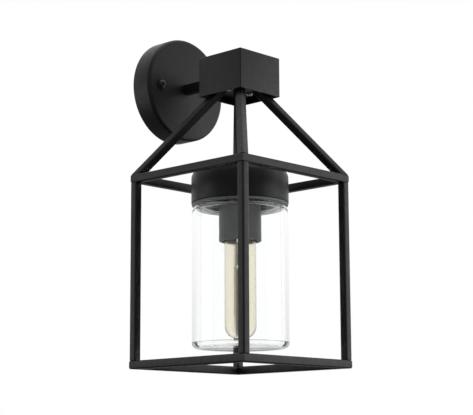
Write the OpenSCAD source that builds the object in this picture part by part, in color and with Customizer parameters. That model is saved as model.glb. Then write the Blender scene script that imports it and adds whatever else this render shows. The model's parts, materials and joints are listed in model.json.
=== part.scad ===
// Outdoor wall lantern. A square open cage of thin tube hangs by four sloping
// bars from a small head box, and the box stands off the wall on a short arm.
// Inside the cage a screwed glass jar encloses an E27 lamp.
//
// Millimetres. +Z is up and +Y goes into the wall. The origin is on the wall,
// midway between the two wall screw slots and level with the arm.

/* [Overall] */
// Distance from the wall to the lantern's upright axis
axis_out = 104; // [100:1:160]
// Height from the arm's centre line down to the top of the cage
cage_drop = 105; // [95:1:150]

/* [Cage] */
// Outer width of the square cage
cage_w = 160; // [130:1:220]
// Height of the cage over both frames
cage_h = 200; // [160:1:280]
// Side of the square tube
bar_s = 8.5; // [7:0.5:10]
// Wall of the square tube
bar_t = 1; // [0.8:0.1:1.4]
// Corner radius of the square tube
bar_r = 1.6; // [0.8:0.1:2]
// Distance from the axis to a roof bar's outer edge, under the head plate
roof_top = 27.6; // [25:0.2:34]

/* [Head box] */
// Width of the square head box
box_w = 60; // [54:1:80]
// Height of the head box
box_h = 42; // [36:1:60]
// Height of the box's top above the arm's centre line
box_rise = 20; // [15:1:30]
// Sheet thickness of the box
box_t = 1.5; // [1:0.1:2]
// Radius of the box's upright corners
box_r = 1; // [0.5:0.1:2]
// Height of the head plate above the box's lower edge
plate_inset = 6.3; // [4:0.1:8]
// Thickness of the head plate
plate_t = 2; // [1.5:0.1:3]
// Distance from the axis to each screw that holds the head plate
plate_screw_x = 15.3; // [14:0.1:20]

/* [Arm] */
// Side of the square arm tube
arm_s = 10; // [10:0.5:14]
// Wall of the arm tube
arm_t = 0.8; // [0.6:0.1:1]
// Diameter of the threaded tube that clamps the arm
tie_d = 8; // [6:0.5:8]
// Bore of that threaded tube
tie_bore = 5.2; // [4.6:0.1:5.6]

/* [Wall canopy] */
// Diameter of the round canopy
canopy_d = 112; // [106:1:140]
// Depth of the canopy from the wall to its front face
canopy_h = 25; // [24:1:40]
// Sheet thickness of the canopy
canopy_t = 1.5; // [1:0.1:2]
// Radius of the canopy's front edge
canopy_r = 3.5; // [2:0.5:6]
// Distance from the centre to each canopy screw
canopy_screw_x = 37.5; // [36:0.5:40]
// Distance from the centre to the middle of each wall screw slot
wall_slot_x = 26; // [25:0.5:27]
// Length of a wall screw slot
wall_slot_len = 10; // [8:0.5:11]
// Width of a wall screw slot
wall_slot_w = 5; // [4:0.5:5.5]
// Thickness of the bracket behind the canopy
bracket_t = 2; // [1.5:0.1:2.5]
// Bore for the supply cable through its grommet
cable_bore = 8; // [6:0.5:9]

/* [Stem and lamp cap] */
// Outer diameter of the stem tube
stem_d = 12; // [11:0.5:14]
// Diameter of the threaded nipple inside the stem
nipple_d = 10; // [9:0.5:10]
// Bore of the nipple, for the leads
nipple_bore = 7; // [6.5:0.1:7.5]
// Height of the cap's top above the top of the cage
cap_rise = 5.5; // [0:0.5:12]
// Diameter of the lamp cap
cap_d = 100.6; // [98:0.2:110]
// Height of the lamp cap
cap_h = 36; // [32:1:50]
// Wall of the lamp cap
cap_t = 2; // [1.5:0.1:2.5]
// Radius of the cap's top edge
cap_r = 10; // [4:0.5:14]

/* [Glass jar] */
// Height of the seal between the cap's rim and the jar's shoulder
seal_h = 2.6; // [2:0.1:4]
// Diameter of the jar
jar_d = 99.2; // [96:0.2:110]
// Height of the jar from its base to its shoulder
jar_h = 146.4; // [144:0.2:190]
// Wall of the jar
jar_t = 3; // [2:0.1:4]
// Thickness of the jar's base
jar_base_t = 3; // [3:0.5:6]
// Diameter over the neck's thread, a standard size for screwed lamp glass
neck_d = 84.5; // [80:0.1:85]
// Height of the neck
neck_h = 16; // [12:0.5:17]
// Wall of the neck
neck_t = 5.5; // [4:0.1:6]

/* [Lamp holder] */
// Diameter of the lamp holder
holder_d = 43.7; // [42:0.1:48]
// Height of the holder's base, which screws on to the nipple
base_h = 23; // [22:0.5:28]
// Height of the skirt below the base
skirt_h = 44; // [38:0.2:46]
// Wall of the base and of the skirt's upper joint
holder_t = 2; // [1.6:0.1:2.4]
// Wall of the skirt
skirt_t = 3; // [2.4:0.1:3.4]

/* [Lamp] */
// Diameter of the tubular lamp
bulb_d = 32.5; // [28:0.1:34]
// Length of the lamp over its contact and its tip
bulb_len = 142; // [120:1:144]
// Diameter over the lamp cap's thread, the standard E27 size
e27_d = 26.4; // [26:0.1:26.5]
// Travel of the lamp in one turn of its thread
e27_pitch = 3.63; // [3.6:0.01:3.66]

/* [Hidden] */
$fn = 64;

// Colours
coat = "#2b2c2d";       // black powder coat
steel = "#b9bcc0";      // zinc-plated steel
brass = "#c8a250";
rubber = "#3a3b3c";
silicone = "#8b8d8c";
moulding = "#55585a";   // dark grey lamp holder
ceramic = "#e9e6dd";
clear = [0.80, 0.88, 0.86, 0.35];
amber = [0.93, 0.82, 0.58, 0.45];

// Clearances
slip = 0.2;             // between pieces that slide together on assembly
thread_gap = 0.05;      // round a fastener in its thread
neck_gap = 0.4;         // round the jar's thread
touch_gap = 0.1;        // between faces that a joint parts
cut = 1;                // how far a cutting shape runs past a face

// Fasteners: M4 screws, M8 and M10 fixing nuts
m4 = 4;
m4_head_d = 8;
m4_head_h = 2.2;
m4_hole = 4.5;
m8_af = 13;
m8_nut_h = 4;
m10_af = 16;
m10_nut_h = 5;
washer_t = 1;
thread_end = 1.5;       // thread that shows past a nut
small_screw = 2.6;
small_head = 3.6;

// Levels down the axis
z_box_low = box_rise - box_h;
z_plate = z_box_low + plate_inset;
z_plate_top = z_plate + plate_t;
z_cage = -cage_drop;
z_cage_low = z_cage - cage_h;
z_cap_top = z_cage + cap_rise;
z_cap_low = z_cap_top - cap_h;
z_ceiling = z_cap_top - cap_t;
z_shoulder = z_cap_low - seal_h;
z_neck_top = z_shoulder + neck_h;
z_jar_low = z_shoulder - jar_h;
cap_washer_t = 1.5;
z_cap_nut = z_ceiling - cap_washer_t;
z_holder = z_cap_nut - m10_nut_h;
z_base_low = z_holder - base_h;
z_holder_low = z_base_low - skirt_h;

// Distances out from the wall along the arm
h_canopy_in = canopy_h - canopy_t;
y_box_back = -axis_out + box_w/2;
y_box_in = y_box_back - box_t;

// Roof bars: the outer edge runs from the cage's corner to the head plate
function edge_reach(s, r) = (s/2 - r)*sqrt(2) + r;
corner_reach = edge_reach(cage_w, bar_r);
bar_edge = edge_reach(bar_s, bar_r);
roof_rise = z_plate - z_cage;
slope = atan2(roof_rise, corner_reach - roof_top);
roof_foot = corner_reach - bar_edge/sin(slope);

// ---------------------------------------------------------------- helpers

module on_axis() {
    translate([0, -axis_out, 0]) children();
}

// Turns a shape drawn up +Z so that it stands out from the wall, along -Y
module from_wall() {
    rotate([90, 0, 0]) children();
}

// Square with true arcs at its corners
module rounded_square(s, r) {
    square([s, s - 2*r], center = true);
    square([s - 2*r, s], center = true);
    for (x = [-1, 1], y = [-1, 1])
        translate([x*(s/2 - r), y*(s/2 - r)]) circle(r);
}

module tube_section(s, t, r) {
    difference() {
        rounded_square(s, r);
        square(s - 2*t, center = true);
    }
}

// What a round of radius r takes off an outer corner
module corner_cut(r) {
    difference() {
        square(r + cut);
        circle(r);
    }
}

// Half outline of a turned body, its outer corners rounded
module half_outline(w, h, r_low, r_high) {
    difference() {
        square([w, h]);
        if (r_low > 0) translate([w - r_low, r_low]) mirror([0, 1]) corner_cut(r_low);
        if (r_high > 0) translate([w - r_high, h - r_high]) corner_cut(r_high);
    }
}

module ring(r_in, r_out, h) {
    difference() {
        cylinder(r = r_out, h = h);
        translate([0, 0, -cut]) cylinder(r = r_in, h = h + 2*cut);
    }
}

module hex_nut(across_flats, bore_d, h) {
    difference() {
        cylinder(d = across_flats/cos(30), h = h, $fn = 6);
        translate([0, 0, -cut]) cylinder(d = bore_d, h = h + 2*cut);
    }
}

// Head above z = 0 with a cross recess, shank below it
module pan_screw(head_d, head_h, shank_d, length) {
    crown = 0.8;
    dome = head_d*head_d/(8*crown) + crown/2;
    recess_w = head_d/7;
    difference() {
        union() {
            intersection() {
                cylinder(d = head_d, h = head_h);
                translate([0, 0, head_h - dome]) sphere(dome);
            }
            translate([0, 0, -length]) cylinder(d = shank_d, h = length);
        }
        for (a = [0, 90]) rotate(a)
            translate([-head_d*0.29, -recess_w/2, head_h*0.45])
                cube([head_d*0.58, recess_w, head_h]);
    }
}

// Smooth curve through the middle points of a list
function bend(a, b, c, d, t) =
    0.5*(2*b + (c - a)*t + (2*a - 5*b + 4*c - d)*t*t + (3*b - a - 3*c + d)*t*t*t);
function smooth(p, n) = concat(
    [for (i = [1 : len(p) - 3], j = [0 : n - 1]) bend(p[i-1], p[i], p[i+1], p[i+2], j/n)],
    [p[len(p) - 2]]);
function unit(v) = v/norm(v);
function tangent(p, i) = unit(p[min(i + 1, len(p) - 1)] - p[max(i - 1, 0)]);
function square_to(u, t) = unit(u - (u*t)*t);

// Round wire along the points p, each ring square to the route
module wire(p, d, start) {
    sides = 8;
    n = len(p);
    across = [for (i = 0, u = square_to(start, tangent(p, 0)); i < n;
                   i = i + 1, u = i < n ? square_to(u, tangent(p, i)) : u) u];
    points = [for (i = [0 : n - 1], k = [0 : sides - 1])
        let (u = across[i], v = cross(tangent(p, i), u), a = 360*k/sides)
        p[i] + (cos(a)*u + sin(a)*v)*d/2];
    walls = [for (i = [0 : n - 2], k = [0 : sides - 1])
        let (k2 = (k + 1) % sides)
        [i*sides + k, (i + 1)*sides + k, (i + 1)*sides + k2, i*sides + k2]];
    first = [for (k = [0 : sides - 1]) k];
    last = [for (k = [sides - 1 : -1 : 0]) (n - 1)*sides + k];
    polyhedron(points = points, faces = concat(walls, [first], [last]), convexity = 4);
}

// ------------------------------------------------------- on and at the wall

strap_w = 20;
strap_len = 94;
tab_left = -15;
tab_right = 24;
tab_top = 34;
grommet_wall = 3;
grommet_lip = 2;
gasket_w = 4;
gasket_h = 4;
rim_gap = 0.5;          // the gasket stands this far proud of the canopy's rim
post_d = 10;
earth_at = [19.5, 26];

module wall_gasket() {
    r_out = canopy_d/2 - canopy_t - slip;
    color(rubber) from_wall() ring(r_out - gasket_w, r_out, gasket_h);
}

module wall_slot() {
    half = wall_slot_len/2 - wall_slot_w/2;
    for (s = [-1, 1]) translate([s*half, 0, -cut]) cylinder(d = wall_slot_w, h = bracket_t + 2*cut);
    translate([-half, -wall_slot_w/2, -cut]) cube([2*half, wall_slot_w, bracket_t + 2*cut]);
}

module wall_bracket() {
    color(steel) from_wall() difference() {
        union() {
            translate([-strap_len/2, -strap_w/2, 0]) cube([strap_len, strap_w, bracket_t]);
            translate([tab_left, 0, 0]) cube([tab_right - tab_left, tab_top, bracket_t]);
        }
        for (s = [-1, 1]) translate([s*wall_slot_x, 0, 0]) wall_slot();
        translate([0, 0, -cut]) cylinder(d = cable_bore + 2*grommet_wall, h = bracket_t + 2*cut);
        translate([earth_at.x, earth_at.y, -cut]) cylinder(d = m4 + 2*thread_gap, h = bracket_t + 2*cut);
    }
}

module bracket_posts() {
    depth = 12;
    color(steel) from_wall() for (s = [-1, 1])
        translate([s*canopy_screw_x, 0, bracket_t]) difference() {
            cylinder(d = post_d, h = h_canopy_in - bracket_t);
            translate([0, 0, h_canopy_in - bracket_t - depth]) cylinder(d = m4 + 2*thread_gap, h = depth + cut);
        }
}

module cable_grommet() {
    color(rubber) from_wall() difference() {
        union() {
            cylinder(d = cable_bore + 2*grommet_wall, h = bracket_t);
            translate([0, 0, bracket_t]) cylinder(d = cable_bore + 2*grommet_wall + 2*grommet_lip, h = grommet_lip);
        }
        translate([0, 0, -cut]) cylinder(d = cable_bore, h = bracket_t + grommet_lip + 2*cut);
    }
}

module canopy() {
    color(coat) from_wall() difference() {
        translate([0, 0, rim_gap]) rotate_extrude() difference() {
            half_outline(canopy_d/2, canopy_h - rim_gap, 0, canopy_r);
            translate([0, -cut]) half_outline(canopy_d/2 - canopy_t,
                canopy_h - rim_gap - canopy_t + cut, 0, max(canopy_r - canopy_t, 0.5));
        }
        translate([0, 0, h_canopy_in - cut]) cylinder(d = tie_d + 2*slip, h = canopy_t + 2*cut);
        for (s = [-1, 1]) translate([s*canopy_screw_x, 0, h_canopy_in - cut])
            cylinder(d = m4_hole, h = canopy_t + 2*cut);
    }
}

canopy_head_d = 9;

module canopy_washers() {
    color(rubber) from_wall() for (s = [-1, 1])
        translate([s*canopy_screw_x, 0, canopy_h]) ring(m4_hole/2, canopy_head_d/2 + 1.5, washer_t);
}

module canopy_screws() {
    color(coat) from_wall() for (s = [-1, 1])
        translate([s*canopy_screw_x, 0, canopy_h + washer_t])
            pan_screw(canopy_head_d, m4_head_h, m4, 10);
}

// Three-pole terminal block above the strap
pole_pitch = 9;
poles = [-pole_pitch, 0, pole_pitch];
block_low = 14;
block_h = 18;
block_d = 12;
pole_depth = bracket_t + 6;
tube_d = 5.2;
tube_bore = 2.8;

module terminal_block() {
    color("#ece9e2") from_wall() difference() {
        translate([-1.5*pole_pitch, block_low, bracket_t]) cube([3*pole_pitch, block_h, block_d]);
        for (x = poles) {
            translate([x, block_low - cut, pole_depth]) rotate([-90, 0, 0])
                cylinder(d = tube_d + 2*thread_gap, h = block_h + 2*cut);
            for (s = [-1, 1]) translate([x, block_low + block_h/2 + s*block_h/4, pole_depth])
                cylinder(d = small_head + 2*slip, h = block_d);
        }
    }
}

module terminal_tubes() {
    color(brass) from_wall() for (x = poles)
        translate([x, block_low + 1, pole_depth]) rotate([-90, 0, 0]) difference() {
            cylinder(d = tube_d, h = block_h - 2);
            translate([0, 0, -cut]) cylinder(d = tube_bore, h = block_h);
            for (s = [-1, 1]) translate([0, 0, block_h/2 - 1 + s*block_h/4]) rotate([90, 0, 0])
                cylinder(d = small_screw + 2*thread_gap, h = tube_d);
        }
}

module terminal_screws() {
    tip = 1.1;
    color(steel) from_wall() for (x = poles, s = [-1, 1])
        translate([x, block_low + block_h/2 + s*block_h/4, pole_depth + tip]) {
            cylinder(d = small_screw, h = tube_d/2 + 0.4);
            translate([0, 0, tube_d/2]) cylinder(d = small_head, h = 1.4);
        }
}

lug_t = 0.8;

module earth_lug() {
    color(brass) from_wall() translate([earth_at.x, earth_at.y, bracket_t]) {
        difference() {
            union() {
                cylinder(d = m4_head_d + 0.6, h = lug_t);
                translate([-1.4, -9, 0]) cube([2.8, 8, lug_t]);
            }
            translate([0, 0, -cut]) cylinder(d = m4 + 2*slip, h = lug_t + 2*cut);
        }
        translate([0, -6, lug_t + 1.1]) rotate([90, 0, 0]) ring(0.95, 1.4, 3.5);
    }
}

module earth_screw() {
    color(steel) from_wall() translate([earth_at.x, earth_at.y, bracket_t + lug_t])
        pan_screw(m4_head_d, m4_head_h, m4, bracket_t + lug_t - 0.2);
}

// ------------------------------------------------------------------- arm

tie_back = h_canopy_in - washer_t - m8_nut_h - thread_end;
tie_front = -y_box_in + washer_t + m8_nut_h + thread_end;

module arm_tube() {
    color(coat) from_wall() translate([0, 0, canopy_h])
        linear_extrude(-y_box_back - canopy_h) tube_section(arm_s, arm_t, min(1, arm_t));
}

module arm_tie() {
    color(steel) from_wall() translate([0, 0, tie_back]) ring(tie_bore/2, tie_d/2, tie_front - tie_back);
}

module arm_washers() {
    color(steel) from_wall() {
        translate([0, 0, h_canopy_in - washer_t]) ring(tie_d/2 + slip, m8_af/2 + 1.5, washer_t);
        translate([0, 0, -y_box_in]) ring(tie_d/2 + slip, m8_af/2 + 1.5, washer_t);
    }
}

module arm_nuts() {
    color(steel) from_wall() {
        translate([0, 0, h_canopy_in - washer_t - m8_nut_h])
            hex_nut(m8_af, tie_d + 2*thread_gap, m8_nut_h);
        translate([0, 0, -y_box_in + washer_t])
            hex_nut(m8_af, tie_d + 2*thread_gap, m8_nut_h);
    }
}

// -------------------------------------------------------------- head box

module head_box() {
    color(coat) difference() {
        on_axis() translate([0, 0, z_box_low]) difference() {
            linear_extrude(box_h) rounded_square(box_w, box_r);
            translate([0, 0, -cut]) linear_extrude(box_h - box_t + cut)
                square(box_w - 2*box_t, center = true);
        }
        from_wall() translate([0, 0, -y_box_back - cut]) cylinder(d = tie_d + 2*slip, h = box_t + 2*cut);
    }
}

tab_w = 14;
tab_t = 1.5;
tab_leg = 11;
tab_past = 5.5;         // how far a tab runs past its screw

module box_tabs() {
    inside = box_w/2 - box_t;
    reach = inside - (plate_screw_x - tab_past);
    color(steel) on_axis() for (a = [0, 180]) rotate(a) translate([0, 0, z_plate_top]) difference() {
        union() {
            translate([inside - reach, -tab_w/2, 0]) cube([reach, tab_w, tab_t]);
            translate([inside - tab_t, -tab_w/2, 0]) cube([tab_t, tab_w, tab_leg]);
        }
        translate([plate_screw_x, 0, -cut]) cylinder(d = m4 + 2*thread_gap, h = tab_t + 2*cut);
    }
}

module head_plate() {
    color(coat) on_axis() translate([0, 0, z_plate]) difference() {
        translate([0, 0, plate_t/2]) cube([box_w - 2*box_t - 2*slip, box_w - 2*box_t - 2*slip, plate_t], center = true);
        translate([0, 0, -cut]) cylinder(d = nipple_d + 2*slip, h = plate_t + 2*cut);
        for (s = [-1, 1]) translate([s*plate_screw_x, 0, -cut]) cylinder(d = m4_hole, h = plate_t + 2*cut);
    }
}

module plate_screws() {
    color(steel) on_axis() for (s = [-1, 1]) translate([s*plate_screw_x, 0, z_plate])
        mirror([0, 0, 1]) pan_screw(m4_head_d, m4_head_h, m4, plate_t + tab_t + 2);
}

// ------------------------------------------------------------------ cage
// Corners and sides are counted anticlockwise from the front left

module roof_bar(k) {
    run = bar_s*2;
    color(coat) on_axis() rotate(-135 + 90*k) intersection() {
        translate([roof_foot, 0, z_cage]) rotate([0, slope - 90, 0]) translate([0, 0, -run])
            linear_extrude(roof_rise/sin(slope) + 2*run) rotate(45) tube_section(bar_s, bar_t, bar_r);
        translate([0, -bar_s, z_cage]) cube([cage_w, 2*bar_s, roof_rise]);
    }
}

module post(k) {
    color(coat) on_axis() rotate(90*k)
        translate([(bar_s - cage_w)/2, (bar_s - cage_w)/2, z_cage_low + bar_s])
            linear_extrude(cage_h - 2*bar_s) tube_section(bar_s, bar_t, bar_r);
}

// One side of a frame, mitred at both ends, its underside at height z
module rail(k, z) {
    half = cage_w/2;
    color(coat) on_axis() rotate(90*k) translate([0, 0, z]) intersection() {
        translate([-half, bar_s/2 - half, bar_s/2]) rotate([90, 0, 90])
            linear_extrude(cage_w) tube_section(bar_s, bar_t, bar_r);
        linear_extrude(bar_s) polygon([[-half, -half], [half, -half],
            [half - bar_s, bar_s - half], [bar_s - half, bar_s - half]]);
    }
}

module top_rail(k) {
    rail(k, z_cage - bar_s);
}

module bottom_rail(k) {
    rail(k, z_cage_low);
}

// ------------------------------------------------------- stem and lamp cap

nipple_top = z_plate_top + m10_nut_h + thread_end;
base_top_t = 6;
nipple_low = z_holder - base_top_t + 0.5;

module stem_tube() {
    color(coat) on_axis() translate([0, 0, z_cap_top])
        ring(nipple_d/2 + slip, stem_d/2, z_plate - z_cap_top);
}

module stem_nipple() {
    color(steel) on_axis() translate([0, 0, nipple_low])
        ring(nipple_bore/2, nipple_d/2, nipple_top - nipple_low);
}

module stem_nuts() {
    color(steel) on_axis() {
        translate([0, 0, z_plate_top]) hex_nut(m10_af, nipple_d + 2*thread_gap, m10_nut_h);
        translate([0, 0, z_holder]) hex_nut(m10_af, nipple_d + 2*thread_gap, m10_nut_h);
    }
}

collar_t = 2;
collar_in = neck_d/2 + neck_gap;
collar_h = neck_h - seal_h + 4;

module lamp_cap() {
    color(coat) on_axis() translate([0, 0, z_cap_low]) rotate_extrude() {
        difference() {
            half_outline(cap_d/2, cap_h, 0, cap_r);
            translate([0, -cut]) half_outline(cap_d/2 - cap_t, cap_h - cap_t + cut, 0, cap_r - cap_t);
            translate([0, cap_h - cap_t - cut]) square([nipple_d/2 + slip, cap_t + 2*cut]);
        }
        translate([collar_in, 0]) square([collar_t, collar_h]);
        translate([collar_in, collar_h - collar_t])
            square([cap_d/2 - cap_t/2 - collar_in, collar_t]);
    }
}

module cap_washer() {
    color(rubber) on_axis() translate([0, 0, z_cap_nut])
        ring(nipple_d/2 + slip, m10_af/2 + 3, cap_washer_t);
}

module glass_seal() {
    lip = 0.8;
    r_in = neck_d/2 + slip;
    color(silicone) on_axis() translate([0, 0, z_shoulder]) rotate_extrude() difference() {
        half_outline(cap_d/2 - 0.5, seal_h - touch_gap, lip, lip);
        square([r_in, seal_h]);
    }
}

jar_shoulder_r = 5.5;
jar_foot_r = 5;

module glass_jar() {
    color(clear) on_axis() rotate_extrude() difference() {
        union() {
            translate([0, z_jar_low]) half_outline(jar_d/2, jar_h, jar_foot_r, jar_shoulder_r);
            translate([0, z_shoulder - cut]) square([neck_d/2, neck_h + cut]);
        }
        translate([0, z_jar_low + jar_base_t]) half_outline(jar_d/2 - jar_t,
            jar_h - jar_base_t - jar_t, jar_foot_r - jar_t/2, jar_shoulder_r - jar_t/2);
        translate([0, z_shoulder - jar_t - cut]) square([neck_d/2 - neck_t, neck_h + jar_t + 2*cut]);
    }
}

// ------------------------------------------------------------ lamp holder

holder_r = holder_d/2;
insert_flange_h = 3;
insert_h = 8;
joint_h = insert_h - insert_flange_h;
joint_r = holder_r - holder_t - slip;
joint_in = joint_r - 2.4;
z_insert_top = z_base_low + insert_h;
terminal_x = 11;
terminal_s = [5, 6, 4];
terminal_hole = 2.4;

module holder_base() {
    color(moulding) on_axis() translate([0, 0, z_base_low]) rotate_extrude() difference() {
        half_outline(holder_r, base_h, 0, 3);
        translate([0, -cut]) half_outline(holder_r - holder_t, base_h - base_top_t + cut, 0, 1);
        translate([0, base_h - base_top_t - cut]) square([nipple_d/2 + thread_gap, base_top_t + 2*cut]);
    }
}

module holder_insert() {
    color(ceramic) on_axis() translate([0, 0, z_base_low]) {
        cylinder(r = joint_in - slip, h = joint_h);
        translate([0, 0, joint_h]) cylinder(r = joint_r, h = insert_flange_h);
    }
}

module holder_terminals() {
    color(brass) on_axis() for (s = [-1, 1]) translate([s*terminal_x, 0, z_insert_top]) difference() {
        translate([0, 0, terminal_s.z/2]) cube(terminal_s, center = true);
        translate([0, 0, terminal_s.z/2]) rotate([0, 90, 0]) cylinder(d = terminal_hole, h = terminal_s.x + 2, center = true);
        translate([0, 0, terminal_s.z/2]) cylinder(d = small_screw + 2*thread_gap, h = terminal_s.z);
    }
}

module holder_screws() {
    color(steel) on_axis() for (s = [-1, 1]) translate([s*terminal_x, 0, z_insert_top + terminal_s.z]) {
        translate([0, 0, -0.7]) cylinder(d = small_screw, h = 0.9);
        cylinder(d = small_head, h = 1.4);
    }
}

notch_count = 12;
notch = [2.2, 1.4];     // width and height of a grip notch in the skirt's rim

module holder_skirt() {
    color(moulding) on_axis() difference() {
        union() {
            translate([0, 0, z_holder_low]) ring(holder_r - skirt_t, holder_r, skirt_h);
            translate([0, 0, z_base_low]) ring(joint_in, joint_r, joint_h);
            translate([0, 0, z_base_low - 2]) ring(joint_in, holder_r - skirt_t + 1, 2);
        }
        for (k = [0 : notch_count - 1]) rotate(360*k/notch_count)
            translate([holder_r - skirt_t/2, -notch.x/2, z_holder_low - cut]) cube([skirt_t, notch.x, notch.y + cut]);
    }
}

shell_gap = 0.25;
shell_t = 0.5;
shell_h = 25;

module screw_shell() {
    r_in = e27_d/2 + shell_gap;
    color(brass) on_axis() {
        translate([0, 0, z_base_low - shell_h]) ring(r_in, r_in + shell_t, shell_h);
        translate([0, 0, z_base_low - shell_t]) ring(r_in/2, r_in + shell_t, shell_t);
    }
}

contact_drop = 1.7;
z_lamp_top = z_base_low - contact_drop - touch_gap;

module centre_contact() {
    color(brass) on_axis() {
        translate([0, 0, z_base_low - contact_drop]) cylinder(r = 4, h = 0.5);
        translate([0, 0, z_base_low - contact_drop]) cylinder(r = 1.5, h = contact_drop);
    }
}

// -------------------------------------------------------------------- lamp

bulb_r = bulb_d/2;
z_lamp_low = z_lamp_top - bulb_len + touch_gap;
tip_h = 1.4;
insulator_h = 3.3;
shell_len = 22.2;
bulb_shell_t = 0.7;
bulb_neck_r = e27_d/2 - bulb_shell_t - slip;
glass_t = 0.9;
z_bulb_shell = z_lamp_top - tip_h - insulator_h;
z_bulb_glass = z_bulb_shell - shell_len;
glass_len = z_bulb_glass - z_lamp_low;
tip_r = bulb_r - 3.5;
neck_in_shell = 8;

module bulb_contact() {
    color(steel) on_axis() translate([0, 0, z_lamp_top - tip_h]) rotate_extrude()
        half_outline(4.6, tip_h, 0, tip_h - 0.6);
}

module bulb_insulator() {
    color("#1c1c1e") on_axis() translate([0, 0, z_bulb_shell])
        cylinder(r1 = e27_d/2 - bulb_shell_t, r2 = 5, h = insulator_h);
}

module bulb_cap() {
    color(brass) on_axis() translate([0, 0, z_bulb_glass])
        ring(e27_d/2 - bulb_shell_t, e27_d/2, shell_len);
}

module bulb_envelope() {
    waist = bulb_r - bulb_neck_r;
    color(amber) on_axis() translate([0, 0, z_lamp_low]) rotate_extrude() difference() {
        union() {
            half_outline(bulb_r, glass_len, tip_r, waist);
            translate([0, glass_len - cut]) square([bulb_neck_r, neck_in_shell + cut]);
        }
        translate([0, glass_t]) half_outline(bulb_r - glass_t, glass_len - 2*glass_t, tip_r - glass_t, waist);
        translate([0, glass_len - waist]) square([bulb_neck_r - glass_t, waist + neck_in_shell + cut]);
    }
}

stem_flare_r = bulb_neck_r - glass_t - thread_gap;
stem_flare_h = 20;
stem_flare_in = 5;      // how far the flare goes up inside the cap
stem_rod_r = 3.2;
stem_len = 40;          // glass stem below the cap
button_r = 4;
filament_n = 6;
filament_r = 6.5;
filament_len = 52;
filament_wire = 0.6;
hook_wire = 0.8;
z_filament_top = z_bulb_glass - stem_len - 2;
z_filament_low = z_filament_top - filament_len;

module bulb_stem() {
    color(clear) on_axis() {
        translate([0, 0, z_bulb_glass - stem_len]) cylinder(r = stem_rod_r, h = stem_len);
        translate([0, 0, z_bulb_glass + stem_flare_in - stem_flare_h])
            cylinder(r1 = stem_rod_r, r2 = stem_flare_r, h = stem_flare_h);
        translate([0, 0, z_bulb_glass - stem_len - 3]) cylinder(r = button_r, h = 3);
        translate([0, 0, z_filament_low - 2]) cylinder(r = 1, h = filament_len + 3);
    }
}

// Spokes that carry the filament at its upper and lower turns
module bulb_wires() {
    color(steel) on_axis() for (level = [[z_filament_top, button_r], [z_filament_low, 1]],
                                k = [0 : filament_n - 1])
        rotate(360*(k + 0.5)/filament_n) translate([level[1], 0, level[0]]) rotate([0, 90, 0])
            cylinder(d = hook_wire, h = filament_r - filament_wire/2 - level[1]);
}

module bulb_filaments() {
    color("#d8903a") on_axis() for (k = [0 : filament_n - 1]) rotate(360*(k + 0.5)/filament_n)
        translate([filament_r, 0, z_filament_low - 1]) cylinder(d = filament_wire, h = filament_len + 2);
}

// ------------------------------------------------------------------- leads
// Two leads run through the arm and the stem, and an earth lead ends at the lug

lead_d = 1.8;
lead_side = 1.1;        // each lead keeps this far to its own side
lead_bend = 14;
y_pole = -pole_depth;

function through_route(x, side) = concat(
    [[x, y_pole, block_low + 8], [x, y_pole, block_low + 4], [x, y_pole, block_low - 2],
     [side*2.5 + x/4, y_pole - 3, 5], [side*lead_side, -tie_back + 1, 0.5],
     [side*lead_side, -tie_back - 6, 0], [side*lead_side, (y_box_back - canopy_h)/2, 0],
     [side*lead_side, -tie_front + 6, 0]],
    [for (a = [0 : 22.5 : 90]) [side*lead_side, -axis_out + lead_bend*(1 - sin(a)), lead_bend*(cos(a) - 1)]],
    [for (t = [0.2 : 0.2 : 0.8]) [side*lead_side, -axis_out, -lead_bend + t*(nipple_low + lead_bend)]],
    [[side*lead_side, -axis_out, nipple_low + 4], [side*(lead_side + 0.2), -axis_out, nipple_low - 1],
     [side*(terminal_x - 6.5), -axis_out, z_insert_top + terminal_s.z/2 + 1.2],
     [side*(terminal_x - 2), -axis_out, z_insert_top + terminal_s.z/2],
     [side*(terminal_x + 2), -axis_out, z_insert_top + terminal_s.z/2]]);

earth_route = [
    [pole_pitch, y_pole, block_low + 8], [pole_pitch, y_pole, block_low + 4],
    [pole_pitch, y_pole, block_low - 2], [pole_pitch + 2, y_pole + 1, 7],
    [pole_pitch + 6, y_pole + 2.5, 4.5], [earth_at.x - 1, y_pole + 3.5, 7.5],
    [earth_at.x, -bracket_t - lug_t - 1.1, 13.5], [earth_at.x, -bracket_t - lug_t - 1.1, earth_at.y - 6.5],
    [earth_at.x, -bracket_t - lug_t - 1.1, earth_at.y - 3]];

module lead_live() {
    color("#6b4326") wire(smooth(through_route(poles[0], -1), 3), lead_d, [1, 0, 0]);
}

module lead_neutral() {
    color("#2c5fa8") wire(smooth(through_route(poles[1], 1), 3), lead_d, [1, 0, 0]);
}

module lead_earth() {
    color("#7d9a2c") wire(smooth(earth_route, 5), lead_d, [0, 1, 0]);
}

// ------------------------------------------------------------------- nodes

wall_gasket();
wall_bracket();
bracket_posts();
cable_grommet();
canopy();
canopy_washers();
canopy_screws();
terminal_block();
terminal_tubes();
terminal_screws();
earth_screw();
earth_lug();
arm_tube();
arm_tie();
arm_nuts();
arm_washers();
head_box();
box_tabs();
head_plate();
plate_screws();
roof_bar(0);  // roof_bar_front_left
roof_bar(1);  // roof_bar_front_right
roof_bar(2);  // roof_bar_back_right
roof_bar(3);  // roof_bar_back_left
top_rail(0);  // top_rail_front
top_rail(1);  // top_rail_right
top_rail(2);  // top_rail_back
top_rail(3);  // top_rail_left
post(0);  // post_front_left
post(1);  // post_front_right
post(2);  // post_back_right
post(3);  // post_back_left
bottom_rail(0);  // bottom_rail_front
bottom_rail(1);  // bottom_rail_right
bottom_rail(2);  // bottom_rail_back
bottom_rail(3);  // bottom_rail_left
stem_tube();
stem_nipple();
stem_nuts();
lamp_cap();
cap_washer();
glass_seal();
glass_jar();
holder_base();
holder_insert();
holder_terminals();
holder_screws();
holder_skirt();
screw_shell();
centre_contact();
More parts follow.
